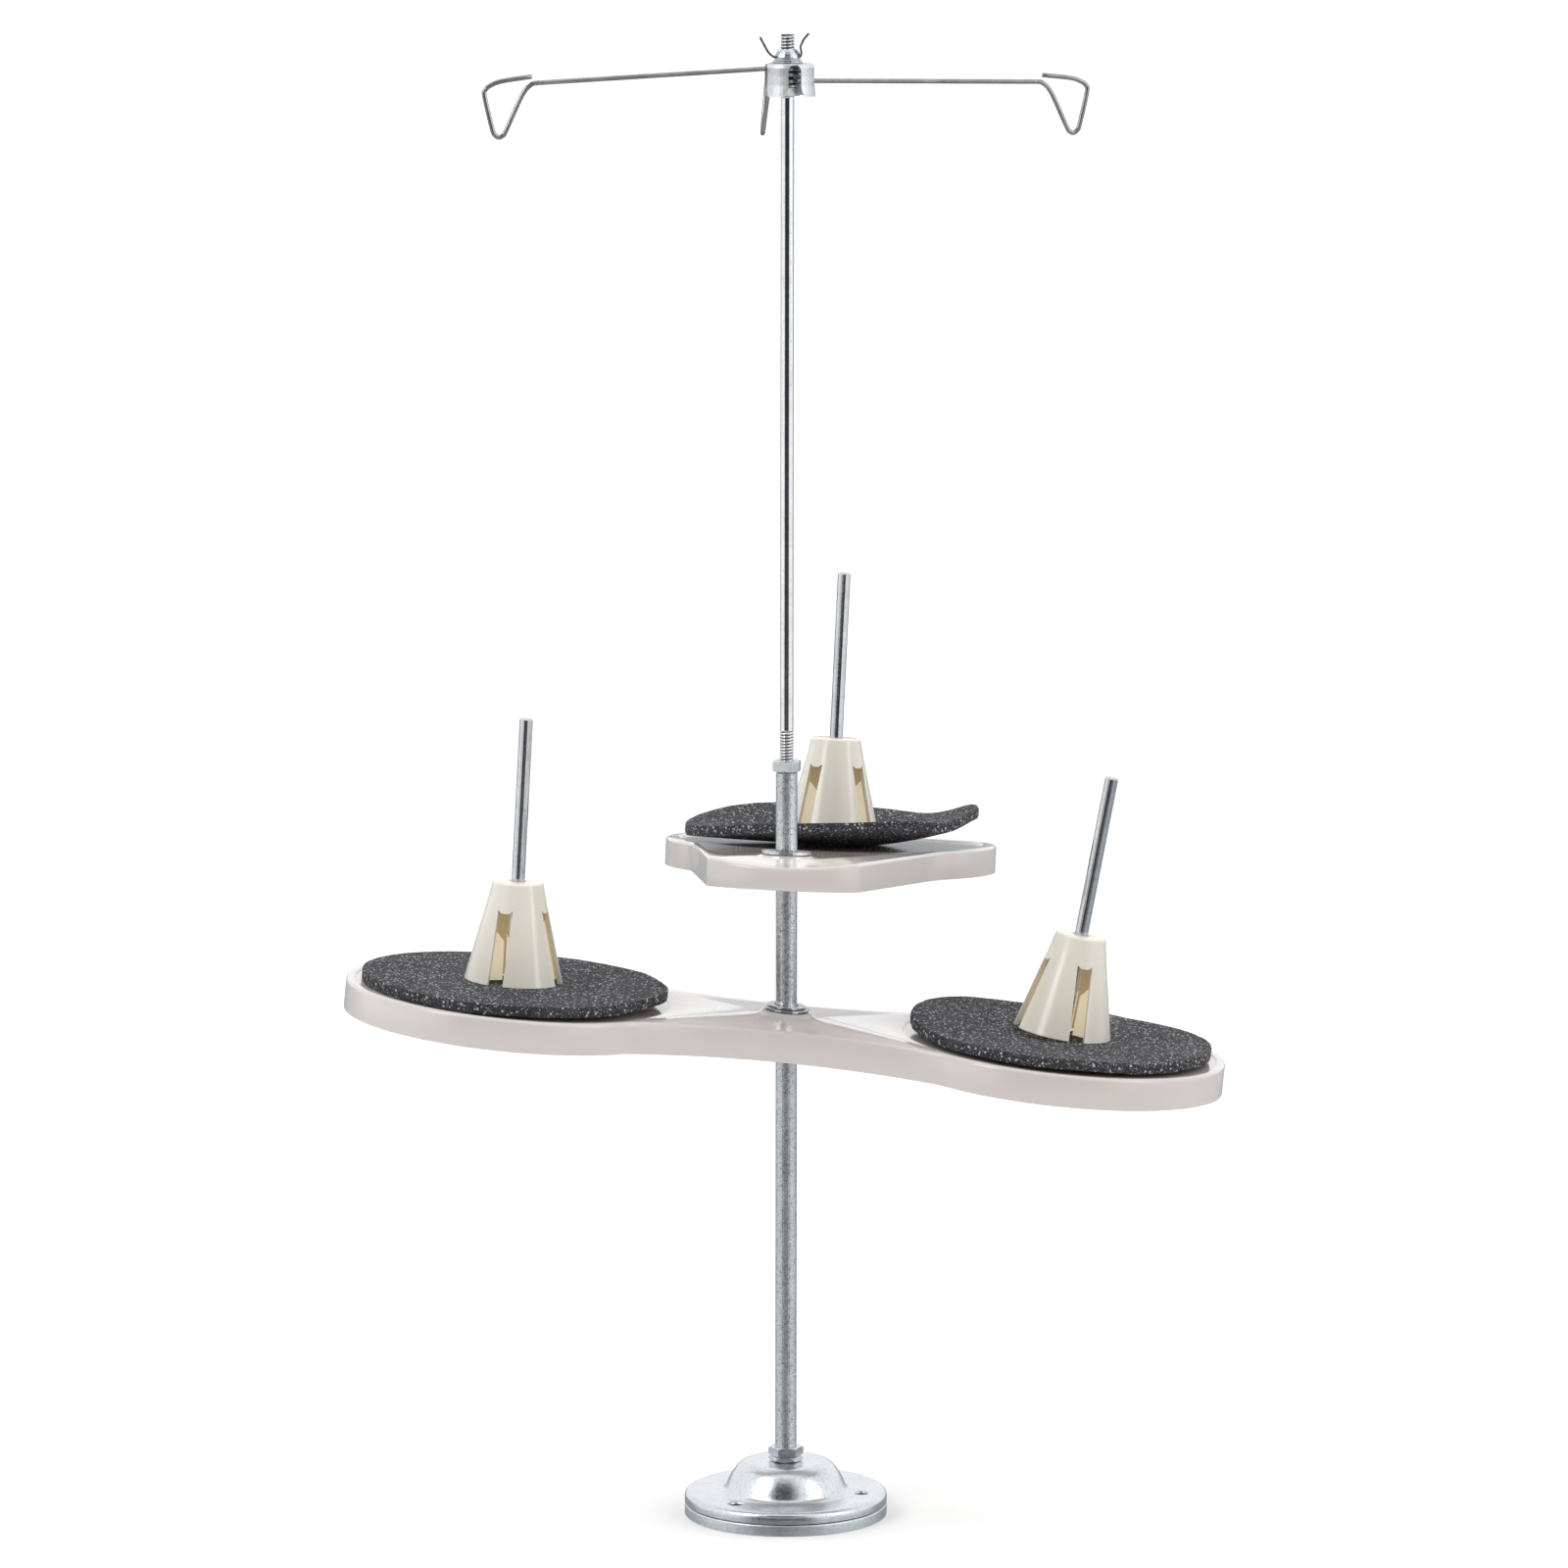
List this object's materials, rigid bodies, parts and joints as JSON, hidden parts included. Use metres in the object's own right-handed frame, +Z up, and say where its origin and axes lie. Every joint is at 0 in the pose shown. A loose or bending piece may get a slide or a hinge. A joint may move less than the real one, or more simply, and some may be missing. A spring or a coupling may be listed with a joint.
{
  "type": "thread cone spool stand",
  "caption": "Free-standing thread spool stand: domed round base, slim post, swinging trays with spool pins, foam pads and slotted cones, and wire thread guides on top.",
  "frame": {"origin": "centre of the base's underside, on the axis of the post", "axes": "+Z up along the post, -Y towards the front of the stand, +X to the right seen from the front"},
  "size_m": [0.365, 0.2509, 0.6169],
  "materials": {
    "zinc_plate": "bright zinc plate, lightly mottled",
    "galvanised_post": "grainy zinc, satin",
    "bright_rod": "bright nickel or chrome plate",
    "guide_wire": "drawn steel wire, darkened plating",
    "tray_plastic": "glossy off-white moulding",
    "cone_plastic": "semi-gloss ivory moulding",
    "pad_foam": "open-cell charcoal foam"
  },
  "bodies": {
    "stand": {"base_flange_lower": "zinc_plate", "base_flange_upper": "zinc_plate", "base_under_nut": "zinc_plate", "base_nut_lower": "zinc_plate", "base_nut_upper": "zinc_plate", "column": "galvanised_post", "column_lock_nut": "zinc_plate", "upper_rod": "bright_rod", "guide_stop_nut": "zinc_plate", "guide_spacer_washer": "zinc_plate"},
    "lower_tray": {"tray_lower": "tray_plastic", "tray_lower_spring_washer": "zinc_plate", "tray_lower_top_washer": "zinc_plate", "tray_lower_under_washer": "zinc_plate", "spool_pin_left": "bright_rod", "spool_pin_right": "bright_rod", "pin_nut_left": "zinc_plate", "pin_nut_right": "zinc_plate", "foam_pad_left": "pad_foam", "foam_pad_right": "pad_foam"},
    "upper_tray": {"tray_upper": "tray_plastic", "tray_upper_star_washer": "zinc_plate", "tray_upper_under_washer": "zinc_plate", "spool_pin_rear": "bright_rod", "pin_nut_rear": "zinc_plate", "foam_pad_rear": "pad_foam"},
    "cone_left": {"spool_cone_left": "cone_plastic"},
    "cone_right": {"spool_cone_right": "cone_plastic"},
    "cone_rear": {"spool_cone_rear": "cone_plastic"},
    "guide_head": {"guide_cup": "zinc_plate"},
    "guide_left": {"thread_guide_left": "guide_wire"},
    "guide_rear": {"thread_guide_rear": "guide_wire"},
    "guide_right": {"thread_guide_right": "guide_wire"},
    "clamp_washer": {"guide_top_washer": "zinc_plate", "guide_lock_washer": "zinc_plate"},
    "wing_nut": {"wing_nut": "zinc_plate"}
  },
  "joints": [
    {"name": "lower_tray_swivel", "type": "hinge", "parent": "stand", "child": "lower_tray", "pos_m": [0, 0, 0.2102], "axis": [0, 0, 1], "range_deg": [-24, 15]},
    {"name": "upper_tray_swivel", "type": "hinge", "parent": "stand", "child": "upper_tray", "pos_m": [0, 0, 0.2777], "axis": [0, 0, 1], "range_deg": [-15, 24]},
    {"name": "left_cone_lift", "type": "slide", "parent": "lower_tray", "child": "cone_left", "axis": [0.0541, 0, 0.9985], "range_m": [0, 0.065]},
    {"name": "right_cone_lift", "type": "slide", "parent": "lower_tray", "child": "cone_right", "axis": [0.1822, 0, 0.9833], "range_m": [0, 0.065]},
    {"name": "rear_cone_lift", "type": "slide", "parent": "upper_tray", "child": "cone_rear", "axis": [0.047, 0.0802, 0.9957], "range_m": [0, 0.065]},
    {"name": "guide_head_swivel", "type": "hinge", "parent": "stand", "child": "guide_head", "pos_m": [0, 0, 0.5967], "axis": [0, 0, 1], "range_deg": [-180, 180]},
    {"name": "left_guide_swivel", "type": "hinge", "parent": "guide_head", "child": "guide_left", "pos_m": [0, 0, 0.6022], "axis": [0, 0, 1], "range_deg": [-9, 6]},
    {"name": "rear_guide_swivel", "type": "hinge", "parent": "guide_head", "child": "guide_rear", "pos_m": [0, 0, 0.5999], "axis": [0, 0, 1], "range_deg": [0, 13]},
    {"name": "right_guide_swivel", "type": "hinge", "parent": "guide_head", "child": "guide_right", "pos_m": [0, 0, 0.5971], "axis": [0, 0, 1], "range_deg": [-12, 3]},
    {"name": "wing_nut_rise", "type": "slide", "parent": "stand", "child": "clamp_washer", "axis": [0, 0, 1], "range_m": [0, 0.00254]},
    {"name": "wing_nut_turn", "type": "hinge", "parent": "clamp_washer", "child": "wing_nut", "pos_m": [0, 0, 0.608], "axis": [0, 0, 1], "range_deg": [0, 720]}
  ],
  "couplings": [
    {"joint": "wing_nut_turn", "follows": "wing_nut_rise", "rad_per_m": 4947.3}
  ]
}
